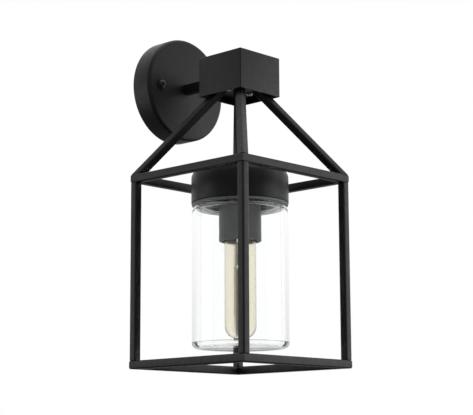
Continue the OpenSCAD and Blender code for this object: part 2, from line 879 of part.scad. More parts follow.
bulb_contact();
bulb_insulator();
bulb_cap();
bulb_envelope();
bulb_stem();
bulb_wires();
bulb_filaments();
lead_live();
lead_neutral();
lead_earth();
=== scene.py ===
"""The looks of an outdoor wall lantern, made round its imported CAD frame.

Everything is in metres in the frame's own axes: +Z up, +Y into the wall. Places
come from the CAD nodes' boxes. Sizes that a box doesn't show are named here in
millimetres and multiplied by MM where they are used.
"""

import json
import math

import bmesh
import bpy
from mathutils import Matrix, Vector

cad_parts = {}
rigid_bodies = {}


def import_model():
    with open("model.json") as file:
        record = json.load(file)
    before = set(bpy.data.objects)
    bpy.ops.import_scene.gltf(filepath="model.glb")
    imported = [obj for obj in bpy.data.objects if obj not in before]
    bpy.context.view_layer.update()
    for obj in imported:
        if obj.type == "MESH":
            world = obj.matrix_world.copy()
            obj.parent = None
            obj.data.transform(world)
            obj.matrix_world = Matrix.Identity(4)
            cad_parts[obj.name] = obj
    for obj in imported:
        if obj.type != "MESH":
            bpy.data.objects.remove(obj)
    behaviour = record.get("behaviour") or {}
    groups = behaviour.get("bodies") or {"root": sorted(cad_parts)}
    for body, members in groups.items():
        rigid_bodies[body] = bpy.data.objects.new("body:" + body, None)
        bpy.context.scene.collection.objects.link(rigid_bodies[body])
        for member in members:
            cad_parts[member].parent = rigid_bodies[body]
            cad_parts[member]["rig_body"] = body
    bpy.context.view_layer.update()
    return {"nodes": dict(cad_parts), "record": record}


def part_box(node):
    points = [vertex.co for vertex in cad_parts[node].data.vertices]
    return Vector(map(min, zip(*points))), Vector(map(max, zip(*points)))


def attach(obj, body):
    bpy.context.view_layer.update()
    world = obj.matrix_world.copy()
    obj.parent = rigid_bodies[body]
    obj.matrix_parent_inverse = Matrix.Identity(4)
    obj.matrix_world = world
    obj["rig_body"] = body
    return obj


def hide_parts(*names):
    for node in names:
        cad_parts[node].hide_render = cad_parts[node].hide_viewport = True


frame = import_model()
scene = bpy.context.scene

MM = 0.001
TURN = 2 * math.pi
ROUND = 128  # steps round a large turned piece
SMALL_ROUND = 48  # steps round a small one
X_AXIS = Vector((1, 0, 0))
Y_AXIS = Vector((0, 1, 0))
Z_AXIS = Vector((0, 0, 1))
OUT_OF_WALL = Matrix.Rotation(TURN / 4, 4, "X")  # turns a shape drawn up Z to stand along -Y

SLOT_OF = {s["node"]: s["material_slot"] for s in frame["record"]["subparts"]}
BODY_OF = {name: node["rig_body"] for name, node in frame["nodes"].items()}
SIDES = ("front", "right", "back", "left")
CORNERS = ("front_left", "front_right", "back_right", "back_left")


def middle(node):
    low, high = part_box(node)
    return (low + high) / 2


def measured(node):
    """A node's half width and its lower and upper ends, in millimetres."""
    low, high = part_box(node)
    return high.x / MM, low.z / MM, high.z / MM


AXIS = Vector((0, middle("glass_jar").y, 0))


# ------------------------------------------------------------------ camera


def make_camera():
    """The photograph's view: from the lower front left, looking a little up."""
    azimuth, elevation, roll = (math.radians(a) for a in (-46.43, -9.92, -0.27))
    distance = 1.446
    aim = AXIS + Vector((-0.0031, 0.0021, -0.1393))
    back = Vector((
        math.sin(azimuth) * math.cos(elevation),
        -math.cos(azimuth) * math.cos(elevation),
        math.sin(elevation),
    ))
    data = bpy.data.cameras.new("camera")
    data.sensor_width = 36
    data.lens = 106.67
    camera = bpy.data.objects.new("camera", data)
    camera.rotation_mode = "QUATERNION"
    level = (-back).to_track_quat("-Z", "Y")
    camera.rotation_quaternion = level @ Matrix.Rotation(roll, 3, "Z").to_quaternion()
    camera.location = aim + back * distance
    scene.collection.objects.link(camera)
    scene.camera = camera
    return back


# --------------------------------------------------------------- materials


def set_range(node, start, end, low, high):
    """Makes a Map Range node take start to end onto low to high."""
    for key, value in (("From Min", start), ("From Max", end), ("To Min", low), ("To Max", high)):
        node.inputs[key].default_value = value


class Nodes:
    """A material's node tree, with short ways to add to it."""

    def __init__(self, name):
        self.material = bpy.data.materials.new(name)
        self.material.use_nodes = True
        self.tree = self.material.node_tree
        self.tree.nodes.clear()
        self.shader = self.tree.nodes.new("ShaderNodeBsdfPrincipled")
        self.output = self.tree.nodes.new("ShaderNodeOutputMaterial")
        self.link(self.shader.outputs[0], self.output.inputs["Surface"])
        self.place = self.tree.nodes.new("ShaderNodeTexCoord").outputs["Object"]

    def link(self, a, b):
        self.tree.links.new(a, b)

    def set(self, **values):
        names = {
            "color": "Base Color", "rough": "Roughness", "metal": "Metallic", "ior": "IOR",
            "glass": "Transmission Weight", "coat": "Coat Weight", "coat_rough": "Coat Roughness",
            "specular": "Specular IOR Level", "skin": "Subsurface Weight",
        }
        for key, value in values.items():
            socket = self.shader.inputs[names[key]]
            socket.default_value = (*value, 1) if key == "color" else value

    def stretched(self, scale):
        mapping = self.tree.nodes.new("ShaderNodeMapping")
        mapping.inputs["Scale"].default_value = scale
        self.link(self.place, mapping.inputs["Vector"])
        return mapping.outputs[0]

    def noise(self, size_mm, detail=3.0, stretch=None):
        """Noise whose patches are about size_mm across."""
        node = self.tree.nodes.new("ShaderNodeTexNoise")
        node.inputs["Scale"].default_value = 1 / (size_mm * MM)
        node.inputs["Detail"].default_value = detail
        self.link(self.stretched(stretch) if stretch else self.place, node.inputs["Vector"])
        return node.outputs["Fac"]

    def cells(self, size_mm):
        node = self.tree.nodes.new("ShaderNodeTexVoronoi")
        node.inputs["Scale"].default_value = 1 / (size_mm * MM)
        self.link(self.place, node.inputs["Vector"])
        return node.outputs["Distance"]

    def spread(self, value, low, high, start=0.3, end=0.7):
        """Maps a noise value to a range."""
        node = self.tree.nodes.new("ShaderNodeMapRange")
        set_range(node, start, end, low, high)
        self.link(value, node.inputs["Value"])
        return node.outputs[0]

    def mixed(self, value, dark, light):
        node = self.tree.nodes.new("ShaderNodeMix")
        node.data_type = "RGBA"
        node.inputs[6].default_value = (*dark, 1)
        node.inputs[7].default_value = (*light, 1)
        self.link(value, node.inputs[0])
        return node.outputs[2]

    def colour(self, value, dark, light):
        self.link(self.mixed(self.spread(value, 0, 1), dark, light), self.shader.inputs["Base Color"])

    def roughness(self, value, low, high):
        self.link(self.spread(value, low, high), self.shader.inputs["Roughness"])

    def bump(self, *layers):
        """Each layer is (height value, depth in millimetres, strength)."""
        last = None
        for height, depth_mm, strength in layers:
            node = self.tree.nodes.new("ShaderNodeBump")
            node.inputs["Distance"].default_value = depth_mm * MM
            node.inputs["Strength"].default_value = strength
            self.link(height, node.inputs["Height"])
            if last:
                self.link(last, node.inputs["Normal"])
            last = node.outputs[0]
        self.link(last, self.shader.inputs["Normal"])


def powder_coat():
    m = Nodes("powder_coat")
    grain = m.noise(0.55, 2)
    peel = m.noise(2.6, 2)
    m.set(specular=0.34)
    m.colour(m.noise(1.2, 4), (0.0075, 0.0078, 0.0082), (0.014, 0.0143, 0.0148))
    m.roughness(m.noise(5, 4), 0.38, 0.50)
    m.bump((grain, 0.06, 0.35), (peel, 0.12, 0.25))
    return m.material


def black_zinc():
    m = Nodes("black_zinc")
    m.set(specular=0.5, coat=0.15, coat_rough=0.3)
    m.colour(m.noise(2, 4), (0.006, 0.006, 0.0065), (0.012, 0.012, 0.013))
    m.roughness(m.noise(3, 4), 0.26, 0.38)
    m.bump((m.noise(0.5, 3), 0.02, 0.25))
    return m.material


def zinc_plate():
    m = Nodes("zinc_plate")
    m.set(metal=1.0)
    m.colour(m.noise(6, 5), (0.50, 0.51, 0.53), (0.66, 0.66, 0.65))
    m.roughness(m.noise(1.5, 5, (1, 1, 6)), 0.24, 0.42)
    m.bump((m.noise(0.4, 3, (1, 1, 8)), 0.02, 0.3))
    return m.material


def bright_nickel():
    m = Nodes("bright_nickel")
    m.set(metal=1.0)
    m.colour(m.noise(3, 4), (0.80, 0.80, 0.79), (0.90, 0.90, 0.89))
    m.roughness(m.noise(1.5, 4), 0.14, 0.24)
    m.bump((m.noise(0.5, 3), 0.01, 0.25))
    return m.material


def brass_metal():
    m = Nodes("brass")
    m.set(metal=1.0)
    m.colour(m.noise(5, 5), (0.58, 0.38, 0.14), (0.74, 0.54, 0.25))
    m.roughness(m.noise(2, 4), 0.20, 0.38)
    m.bump((m.noise(0.5, 3), 0.02, 0.25))
    return m.material


def black_rubber():
    m = Nodes("black_rubber")
    m.set(specular=0.3)
    m.colour(m.noise(2, 5), (0.016, 0.016, 0.017), (0.032, 0.032, 0.033))
    m.roughness(m.noise(3, 4), 0.65, 0.85)
    m.bump((m.cells(0.6), 0.08, 0.4))
    return m.material


def grey_silicone():
    m = Nodes("grey_silicone")
    m.set(specular=0.45, skin=0.05)
    m.colour(m.noise(3, 4), (0.21, 0.22, 0.22), (0.29, 0.30, 0.30))
    m.roughness(m.noise(2, 4), 0.38, 0.52)
    m.bump((m.noise(0.8, 3), 0.05, 0.3))
    return m.material


def holder_moulding():
    m = Nodes("holder_moulding")
    m.set(specular=0.5)
    m.colour(m.noise(8, 5), (0.105, 0.116, 0.112), (0.130, 0.141, 0.137))
    m.roughness(m.noise(4, 4), 0.38, 0.48)
    m.bump((m.noise(1.0, 3), 0.02, 0.25), (m.noise(9, 2), 0.10, 0.2))
    return m.material


def glazed_ceramic():
    m = Nodes("glazed_ceramic")
    m.set(coat=0.5, coat_rough=0.08, skin=0.04)
    m.colour(m.noise(1.0, 6), (0.66, 0.63, 0.56), (0.78, 0.76, 0.70))
    m.roughness(m.noise(2, 4), 0.22, 0.40)
    m.bump((m.noise(2.5, 3), 0.05, 0.25))
    return m.material


def block_plastic():
    m = Nodes("block_plastic")
    m.colour(m.noise(4, 4), (0.62, 0.60, 0.54), (0.72, 0.70, 0.65))
    m.roughness(m.noise(2, 4), 0.40, 0.55)
    m.bump((m.noise(0.5, 3), 0.03, 0.3))
    return m.material


def glass(name, tint, absorb, density, wave_mm, rough=0.0):
    """Clear glass with the slow ripple of a blown or drawn wall."""
    m = Nodes(name)
    m.set(color=tint, glass=1.0, rough=rough, ior=1.5)
    m.bump((m.noise(wave_mm, 1, (1, 1, 0.4)), 0.05, 0.04))
    volume = m.tree.nodes.new("ShaderNodeVolumeAbsorption")
    volume.inputs["Color"].default_value = (*absorb, 1)
    volume.inputs["Density"].default_value = density
    m.link(volume.outputs[0], m.output.inputs["Volume"])
    return m.material


def black_glass():
    m = Nodes("black_glass")
    m.set(coat=0.6, coat_rough=0.05)
    m.colour(m.noise(2, 4), (0.006, 0.006, 0.007), (0.014, 0.014, 0.016))
    m.roughness(m.noise(3, 4), 0.10, 0.22)
    m.bump((m.noise(2, 2), 0.05, 0.2))
    return m.material


def filament_phosphor():
    m = Nodes("filament_phosphor")
    m.set(skin=0.1)
    m.colour(m.noise(1.2, 3, (1, 1, 0.4)), (0.80, 0.50, 0.12), (0.90, 0.66, 0.26))
    m.roughness(m.noise(1, 3), 0.45, 0.6)
    m.bump((m.noise(0.6, 3), 0.05, 0.3))
    return m.material


def insulation(name, dark, light):
    m = Nodes(name)
    m.colour(m.noise(3, 4), dark, light)
    m.roughness(m.noise(2, 3), 0.35, 0.5)
    m.bump((m.noise(0.7, 2), 0.02, 0.3))
    return m.material


MATERIALS = {
    "coat": powder_coat(),
    "black_zinc": black_zinc(),
    "zinc": zinc_plate(),
    "brass": brass_metal(),
    "rubber": black_rubber(),
    "silicone": grey_silicone(),
    "moulding": holder_moulding(),
    "ceramic": glazed_ceramic(),
    "block": block_plastic(),
    "clear_glass": glass("clear_glass", (0.997, 1.0, 0.998), (0.66, 0.86, 0.79), 9.0, 60),
    "amber_glass": glass("amber_glass", (0.985, 0.955, 0.860), (0.94, 0.84, 0.55), 12.0, 20, 0.12),
    "black_glass": black_glass(),
    "filament": filament_phosphor(),
    "lead_brown": insulation("lead_brown", (0.085, 0.036, 0.016), (0.11, 0.05, 0.022)),
    "lead_blue": insulation("lead_blue", (0.02, 0.09, 0.32), (0.03, 0.12, 0.38)),
    "lead_green": insulation("lead_green", (0.06, 0.22, 0.03), (0.09, 0.28, 0.05)),
}
EARTH_YELLOW = insulation("lead_yellow", (0.62, 0.50, 0.03), (0.72, 0.60, 0.06))


# ------------------------------------------------------------- mesh making


def arc_steps(angle):
    return max(2, round(abs(angle) / math.radians(11)))


def outline(corners, closed=False):
    """Points of a flat outline. Each corner is (x, y) or (x, y, radius), in millimetres."""
    points = []
    count = len(corners)
    for i, (x, y, *rest) in enumerate(corners):
        radius = rest[0] if rest else 0
        here = Vector((x, y))
        if radius <= 0 or (not closed and i in (0, count - 1)):
            points.append(here * MM)
            continue
        before = (Vector(corners[i - 1][:2]) - here).normalized()
        after = (Vector(corners[(i + 1) % count][:2]) - here).normalized()
        half = before.angle(after) / 2
        centre = here + (before + after).normalized() * (radius / math.sin(half))
        start = here + before * (radius / math.tan(half)) - centre
        end = here + after * (radius / math.tan(half)) - centre
        first = math.atan2(start.y, start.x)
        sweep = math.atan2(end.y, end.x) - first
        sweep -= TURN * round(sweep / TURN)
        steps = arc_steps(sweep)
        for k in range(steps + 1):
            a = first + sweep * k / steps
            points.append((centre + Vector((math.cos(a), math.sin(a))) * radius) * MM)
    return points


def strip(bm, a, b):
    """Faces between two rings, either of which may be a single point."""
    n = max(len(a), len(b))
    for k in range(n):
        k2 = (k + 1) % n
        if len(a) == 1:
            bm.faces.new((a[0], b[k], b[k2]))
        elif len(b) == 1:
            bm.faces.new((a[k], b[0], a[k2]))
        else:
            bm.faces.new((a[k], b[k], b[k2], a[k2]))


def turned(points, steps=ROUND, ring=False, shape=None):
    """A body turned about Z from (radius, height) points. With ring, its outline is closed."""
    bm = bmesh.new()
    rows = []
    for r, z in points:
        if r < 1e-7:
            rows.append([bm.verts.new((0, 0, z))])
            continue
        row = []
        for k in range(steps):
            a = TURN * k / steps
            rr, zz = shape(r, z, a) if shape else (r, z)
            row.append(bm.verts.new((rr * math.cos(a), rr * math.sin(a), zz)))
        rows.append(row)
    for i in range(len(rows) - (0 if ring else 1)):
        strip(bm, rows[i], rows[(i + 1) % len(rows)])
    return bm


def rounded_square(half, corner, steps=5):
    """Points round a flat rounded square."""
    corner = min(corner, half * 0.98)
    points = []
    for k in range(4):
        mid = TURN * (k + 0.5) / 4
        reach = half - corner
        centre = Vector((math.copysign(reach, math.cos(mid)), math.copysign(reach, math.sin(mid))))
        for s in range(steps + 1):
            a = TURN / 4 * (k + s / steps)
            points.append(centre + Vector((math.cos(a), math.sin(a))) * corner)
    return points


def skin_over(bm, loops):
    """Faces from each loop to the next, and over the first and the last."""
    for a, b in zip(loops, loops[1:]):
        strip(bm, a, b)
    bm.faces.new(loops[0])
    bm.faces.new(loops[-1])
    return bm


def squared(points, half, corner):
    """Like turned, but each (half width, height) point sweeps round a rounded square."""
    bm = bmesh.new()
    loops = []
    for width, z in points:
        flat = rounded_square(width, max(corner - (half - width), 0.25 * MM))
        loops.append([bm.verts.new((p.x, p.y, z)) for p in flat])
    return skin_over(bm, loops)


def bar(start, end, across, half, corner, start_cut=None, end_cut=None, groove=0.18 * MM):
    """Square tube from start to end.

    A cut is the normal of the plane that ends it, and each end is eased by groove.
    """
    along = (end - start).normalized()
    across = (across - across.dot(along) * along).normalized()
    up = along.cross(across)
    flat = rounded_square(half, corner, 6)
    bm = bmesh.new()

    def end_row(point, normal, inset, back):
        row = []
        for p in flat:
            side = across * (p.x * (1 - inset / half)) + up * (p.y * (1 - inset / half))
            slide = -side.dot(normal) / along.dot(normal)
            row.append(bm.verts.new(point + side + along * (slide + back)))
        return row

    start_cut = start_cut or along
    end_cut = end_cut or along
    return skin_over(bm, [
        end_row(start, start_cut, groove, 0), end_row(start, start_cut, 0, groove),
        end_row(end, end_cut, 0, -groove), end_row(end, end_cut, groove, 0),
    ])


def tube(bm, points, radius, sides, first):
    """Round wire along points. Its section starts at the direction first."""
    u = first
    loops = []
    for i, p in enumerate(points):
        ahead = points[min(i + 1, len(points) - 1)]
        along = (ahead - points[max(i - 1, 0)]).normalized()
        u = (u - u.dot(along) * along).normalized()
        v = along.cross(u)
        angles = [TURN * k / sides for k in range(sides)]
        loops.append([bm.verts.new(p + (u * math.cos(a) + v * math.sin(a)) * radius) for a in angles])
    return skin_over(bm, loops)


def block(bm, low, high, taper=0.0):
    """A box, its lower face drawn in by taper. Used as a cutter."""
    verts = []
    for z, t in ((low.z, taper), (high.z, 0)):
        x0, x1, y0, y1 = low.x + t, high.x - t, low.y + t, high.y - t
        for x, y in ((x0, y0), (x1, y0), (x1, y1), (x0, y1)):
            verts.append(bm.verts.new((x, y, z)))
    for face in ((3, 2, 1, 0), (4, 5, 6, 7), (0, 1, 5, 4), (1, 2, 6, 5), (2, 3, 7, 6), (3, 0, 4, 7)):
        bm.faces.new([verts[i] for i in face])
    return bm


def join(bm, other, matrix=None):
    """Adds other to bm, moved by matrix, and returns bm."""
    if matrix:
        bmesh.ops.transform(other, matrix=matrix, verts=other.verts)
    mesh = bpy.data.meshes.new("scrap")
    other.to_mesh(mesh)
    other.free()
    bm.from_mesh(mesh)
    bpy.data.meshes.remove(mesh)
    return bm


def moved(bm, matrix):
    bmesh.ops.transform(bm, matrix=matrix, verts=bm.verts)
    return bm


def raised(bm, point):
    return moved(bm, Matrix.Translation(point))


def carve(bm, cutter):
    """Cuts one mesh out of another."""
    made = []
    for name, source in (("body", bm), ("cutter", cutter)):
        bmesh.ops.recalc_face_normals(source, faces=source.faces)
        mesh = bpy.data.meshes.new(name)
        source.to_mesh(mesh)
        source.free()
        obj = bpy.data.objects.new(name, mesh)
        scene.collection.objects.link(obj)
        made.append(obj)
    body, tool = made
    modifier = body.modifiers.new("cut", "BOOLEAN")
    modifier.operation = "DIFFERENCE"
    modifier.solver = "EXACT"
    modifier.use_self = True
    modifier.object = tool
    graph = bpy.context.evaluated_depsgraph_get()
    result = bmesh.new()
    result.from_mesh(body.evaluated_get(graph).to_mesh())
    for obj in made:
        mesh = obj.data
        bpy.data.objects.remove(obj)
        bpy.data.meshes.remove(mesh)
    bmesh.ops.remove_doubles(result, verts=result.verts, dist=1e-6)
    return result


def soften(bm, width_mm, sharp=30, segments=2):
    """Rounds the sharp edges of a flat-sided mesh."""
    bmesh.ops.remove_doubles(bm, verts=bm.verts, dist=1e-6)
    bmesh.ops.dissolve_limit(bm, angle_limit=math.radians(1), verts=bm.verts, edges=bm.edges)
    bmesh.ops.recalc_face_normals(bm, faces=bm.faces)
    limit = math.radians(sharp)
    edges = [e for e in bm.edges if len(e.link_faces) == 2 and e.calc_face_angle(0) > limit]
    bmesh.ops.bevel(
        bm, geom=edges, offset=width_mm * MM, segments=segments, profile=0.5,
        affect="EDGES", clamp_overlap=True,
    )
    return bm


def from_node(node):
    """A CAD node's own mesh, to be worked on as a new piece."""
    bm = bmesh.new()
    bm.from_mesh(frame["nodes"][node].data)
    bmesh.ops.remove_doubles(bm, verts=bm.verts, dist=2e-6)
    return bm


def piece(name, bm, *nodes, sharp=32, material=None, extra=None, paint=None):
    """Makes a piece that stands for CAD nodes, rides on their body and takes their finish."""
    bmesh.ops.recalc_face_normals(bm, faces=bm.faces)
    limit = math.radians(sharp)
    for face in bm.faces:
        face.smooth = True
        if paint:
            face.material_index = paint(face)
    for edge in bm.edges:
        if len(edge.link_faces) != 2:
            edge.smooth = False
            continue
        angle = edge.calc_face_angle(0)
        areas = sorted(face.calc_area() for face in edge.link_faces)
        beside_flat = angle > math.radians(12) and areas[1] > 6 * areas[0]
        edge.smooth = angle < limit and not beside_flat
    mesh = bpy.data.meshes.new(name)
    bm.to_mesh(mesh)
    bm.free()
    slot = SLOT_OF[nodes[0]]
    mesh.materials.append(material or MATERIALS[slot])
    if extra:
        mesh.materials.append(extra)
    obj = bpy.data.objects.new(name, mesh)
    scene.collection.objects.link(obj)
    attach(obj, BODY_OF[nodes[0]])
    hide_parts(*nodes)
    return obj


def thread(z, angle, pitch, width):
    """Height from 0 to 1 of a right-handed round thread at this place."""
    t = (z / pitch - angle / TURN) % 1.0
    off = min(abs(t - 0.5) * pitch / (width / 2), 1)
    return 0.5 + 0.5 * math.cos(math.pi * off)


def rows(low, high, step):
    """Heights from low to high, both ends in."""
    count = max(1, round(abs(high - low) / step))
    return [low + (high - low) * k / count for k in range(count + 1)]


# --------------------------------------------------------------- fasteners


def pan_head(width, height):
    """Pan head with a cross recess, its seat at z = 0, in millimetres."""
    r = width / 2
    head = turned(outline([(0, height), (r * 0.55, height - 0.05, 2.5), (r * 0.93, height * 0.62, 1.0),
                           (r, height * 0.2, 0.3), (r, 0, 0.1), (0, 0)]), SMALL_ROUND)
    blade = width * 0.075
    for turn in (0, TURN / 4):
        cutter = bmesh.new()
        low, high = Vector((-r * 0.56, -blade, height * 0.35)), Vector((r * 0.56, blade, height * 1.5))
        block(cutter, low * MM, high * MM, 0.12 * MM)
        head = carve(head, moved(cutter, Matrix.Rotation(turn + 0.35, 4, "Z")))
    return head


def screw(width, height, shank, length):
    """Head above z = 0 and a threaded shank below it."""
    pitch = 0.7
    r = shank / 2

    def ridge(radius, z, a):
        if radius <= (r - 0.1) * MM:
            return radius, z
        return radius - 0.22 * MM * (1 - thread(z, a, pitch * MM, pitch * MM)), z

    points = [(0, -length * MM), ((r - 0.4) * MM, -length * MM)]
    points += [(r * MM, z * MM) for z in rows(-length + 0.4, -0.1, pitch / 5)]
    body = turned(points + [(0, -0.1 * MM)], 24, shape=ridge)
    return join(pan_head(width, height), body)


def hex_nut(across_flats, bore, height):
    """Hexagon nut with chamfered corners, its lower face at z = 0."""
    lip, chamfer = bore / 2 + 0.5, height * 0.16
    points = [Vector(p) * MM for p in ((lip, height), (bore / 2, height - 0.5), (bore / 2, 0.5), (lip, 0))]
    levels = rows(0, chamfer, chamfer / 4)
    points += [Vector((across_flats, z)) * MM for z in levels + [height - z for z in reversed(levels)]]

    def sides(radius, z, a):
        if radius < across_flats * 0.9 * MM:
            return radius, z
        flat = across_flats / 2 * MM / math.cos((a + TURN / 12) % (TURN / 6) - TURN / 12)
        cone = across_flats * 0.48 * MM + min(z, height * MM - z) / chamfer * across_flats * 0.12
        return min(flat, cone), z

    return turned(points, 72, ring=True, shape=sides)


def washer(inner, outer, height, ease=0.15):
    ring = [(inner, 0, ease), (outer, 0, ease), (outer, height, ease), (inner, height, ease)]
    return turned(outline(ring, True), SMALL_ROUND, ring=True)


def threaded_tube(outer, bore, low, high, pitch):
    """Hollow threaded rod between two heights, in millimetres."""
    levels = rows(low + 0.6, high - 0.6, pitch / 5)
    shell = [(bore / 2 * MM, z * MM) for z in (high, low)] + [((outer / 2 - 0.5) * MM, low * MM)]
    shell += [(outer / 2 * MM, z * MM) for z in levels] + [((outer / 2 - 0.5) * MM, high * MM)]

    def ridge(r, z, a):
        cut = 0.3 * MM * (1 - thread(z, a, pitch * MM, pitch * MM))
        return (r - cut if r > (outer / 2 - 0.1) * MM else r), z

    return turned(shell, SMALL_ROUND, ring=True, shape=ridge)


# ------------------------------------------------------------ wall fittings


def make_canopy():
    low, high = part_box("canopy")
    r, front, rim = high.z / MM, -low.y / MM, -high.y / MM
    wall = 1.5
    shell = turned(outline([
        (0, front), (r, front, 3.5), (r, rim, 0.5), (r - wall, rim, 0.5),
        (r - wall, front - wall, 2.0), (0, front - wall),
    ]), 160)
    piece("canopy_cover", moved(shell, OUT_OF_WALL), "canopy")
    for node, name in (("canopy_washers", "canopy_screw_washers"), ("canopy_screws", "canopy_pan_screws")):
        low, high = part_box(node)
        both = bmesh.new()
        for side in (-1, 1):
            x = side * (high.x - (high.z - low.z) / 2)
            if node == "canopy_washers":
                part = washer(2.25, 6, 1, 0.35)
                base = high.y
            else:
                part = screw(9, 2.2, 4, 10)
                base = -26 * MM
            join(both, part, Matrix.Translation((x, base, 0)) @ OUT_OF_WALL)
        piece(name, both, node)


def make_gasket():
    low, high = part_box("wall_gasket")
    r = high.x / MM
    section = [(r - 4, 0, 0.8), (r, 0, 0.8), (r, 4, 0.5), (r - 4, 4, 0.5)]
    ring = turned(outline(section, True), ROUND, ring=True)
    piece("wall_foam_gasket", moved(ring, OUT_OF_WALL), "wall_gasket")


def make_bracket():
    plate = soften(from_node("wall_bracket"), 0.25)
    piece("wall_mounting_strap", plate, "wall_bracket")
    low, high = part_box("bracket_posts")
    both = bmesh.new()
    for side in (-1, 1):
        x = side * (high.x - 5 * MM)
        post = turned(outline([
            (0, 2), (5.0, 2, 0.2), (5.0, 23.5, 0.5), (2.1, 23.5, 0.3), (2.1, 12, 0.2), (0, 12),
        ]), SMALL_ROUND)
        join(both, moved(post, OUT_OF_WALL), Matrix.Translation((x, 0, 0)))
    piece("bracket_screw_posts", both, "bracket_posts")
    section = [(4, 0, 0.4), (7, 0, 0.2), (7, 2, 0.1), (9, 2, 0.4), (9, 4, 0.7), (4, 4, 0.7)]
    grommet = turned(outline(section, True), SMALL_ROUND, ring=True)
    piece("supply_grommet", moved(grommet, OUT_OF_WALL), "cable_grommet")


def make_terminals():
    body = soften(from_node("terminal_block"), 0.3)
    piece("connector_block", body, "terminal_block")
    piece("connector_tubes", from_node("terminal_tubes"), "terminal_tubes")
    piece("connector_screws", slotted("terminal_screws", 3.6), "terminal_screws")
    piece("earth_ring_lug", soften(from_node("earth_lug"), 0.12), "earth_lug")
    middle_point = middle("earth_screw")
    place = Matrix.Translation((middle_point.x, -2.8 * MM, middle_point.z)) @ OUT_OF_WALL
    piece("earth_pan_screw", moved(screw(8, 2.2, 4, 2.6), place), "earth_screw")


def islands(bm):
    """The low and high corners of each separate solid of a mesh, in the mesh's order."""
    seen = set()
    boxes = []
    for first in bm.verts:
        if first in seen:
            continue
        seen.add(first)
        group, todo = [], [first]
        while todo:
            v = todo.pop()
            group.append(v.co)
            for e in v.link_edges:
                w = e.other_vert(v)
                if w not in seen:
                    seen.add(w)
                    todo.append(w)
        boxes.append(tuple(Vector([pick(co[i] for co in group) for i in range(3)]) for pick in (min, max)))
    return boxes


def slotted(node, width, upright=False):
    """A node's small screws remade with a slot in each head. Heads face -Y, or +Z when upright."""
    made = bmesh.new()
    source = from_node(node)
    for low, high in islands(source):
        centre = (low + high) / 2
        length = (high.z - low.z if upright else high.y - low.y) / MM
        r = width / 2
        head = 1.4
        bolt = turned(outline([
            (0, length), (r, length, 0.35), (r, length - head, 0.2), (1.3, length - head), (1.3, 0.3),
            (1.0, 0), (0, 0),
        ]), 32)
        slot_low, slot_high = Vector((-r * 1.2, -0.35, length - 0.7)), Vector((r * 1.2, 0.35, length + 1))
        cutter = block(bmesh.new(), slot_low * MM, slot_high * MM)
        bolt = carve(bolt, moved(cutter, Matrix.Rotation(centre.x * 900, 4, "Z")))
        if upright:
            place = Matrix.Translation((centre.x, centre.y, low.z))
        else:
            place = Matrix.Translation((centre.x, high.y, centre.z)) @ OUT_OF_WALL
        join(made, bolt, place)
    source.free()
    return made


# --------------------------------------------------------- arm and head box


def make_arm():
    low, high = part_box("arm_tube")
    half = high.x
    beam = bar(Vector((0, low.y, 0)), Vector((0, high.y, 0)), X_AXIS, half, 0.9 * MM, groove=0.25 * MM)
    piece("arm_square_tube", beam, "arm_tube")
    low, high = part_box("arm_tie")
    rod = threaded_tube(8, 5.2, -high.y / MM, -low.y / MM, 1.0)
    piece("arm_threaded_tube", moved(rod, OUT_OF_WALL), "arm_tie")
    low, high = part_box("arm_nuts")
    nuts = bmesh.new()
    for near in (-high.y, -low.y - 4 * MM):
        join(nuts, moved(hex_nut(13, 8.1, 4), OUT_OF_WALL), Matrix.Translation((0, -near, 0)))
    piece("arm_hex_nuts", nuts, "arm_nuts")
    low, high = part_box("arm_washers")
    pair = bmesh.new()
    for near in (-high.y, -low.y - MM):
        join(pair, moved(washer(4.2, 8, 1), OUT_OF_WALL), Matrix.Translation((0, -near, 0)))
    piece("arm_flat_washers", pair, "arm_washers")


def make_head_box():
    half, bottom, top = measured("head_box")
    wall = 1.5
    inner = half - wall
    shell = squared(outline([
        (inner * 0.6, top - wall), (inner, top - wall, 0.6), (inner, bottom, 0.35), (half, bottom, 0.45),
        (half, top, 1.0), (half * 0.6, top),
    ]), half * MM, 1.0 * MM)
    piece("head_box_shell", raised(shell, AXIS), "head_box")
    piece("head_box_tabs", soften(from_node("box_tabs"), 0.2), "box_tabs")
    half, bottom, top = measured("head_plate")
    plate = squared(outline([
        (half * 0.5, top), (half, top, 0.3), (half, bottom, 0.4), (half * 0.5, bottom),
    ]), half * MM, 1.0 * MM)
    piece("head_cover_plate", raised(plate, AXIS), "head_plate")
    low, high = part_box("plate_screws")
    screws = bmesh.new()
    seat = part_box("head_plate")[0].z
    for side in (-1, 1):
        x = side * (high.x - 4 * MM)
        turn = Matrix.Translation(AXIS + Vector((x, 0, seat))) @ Matrix.Rotation(math.pi, 4, "X")
        join(screws, screw(8, 2.2, 4, 5.5), turn)
    piece("plate_pan_screws", screws, "plate_screws", material=bright_nickel())


# -------------------------------------------------------------------- cage

ROOF_TOP = 27.6 * MM  # from the axis to a roof bar's outer edge, under the head plate


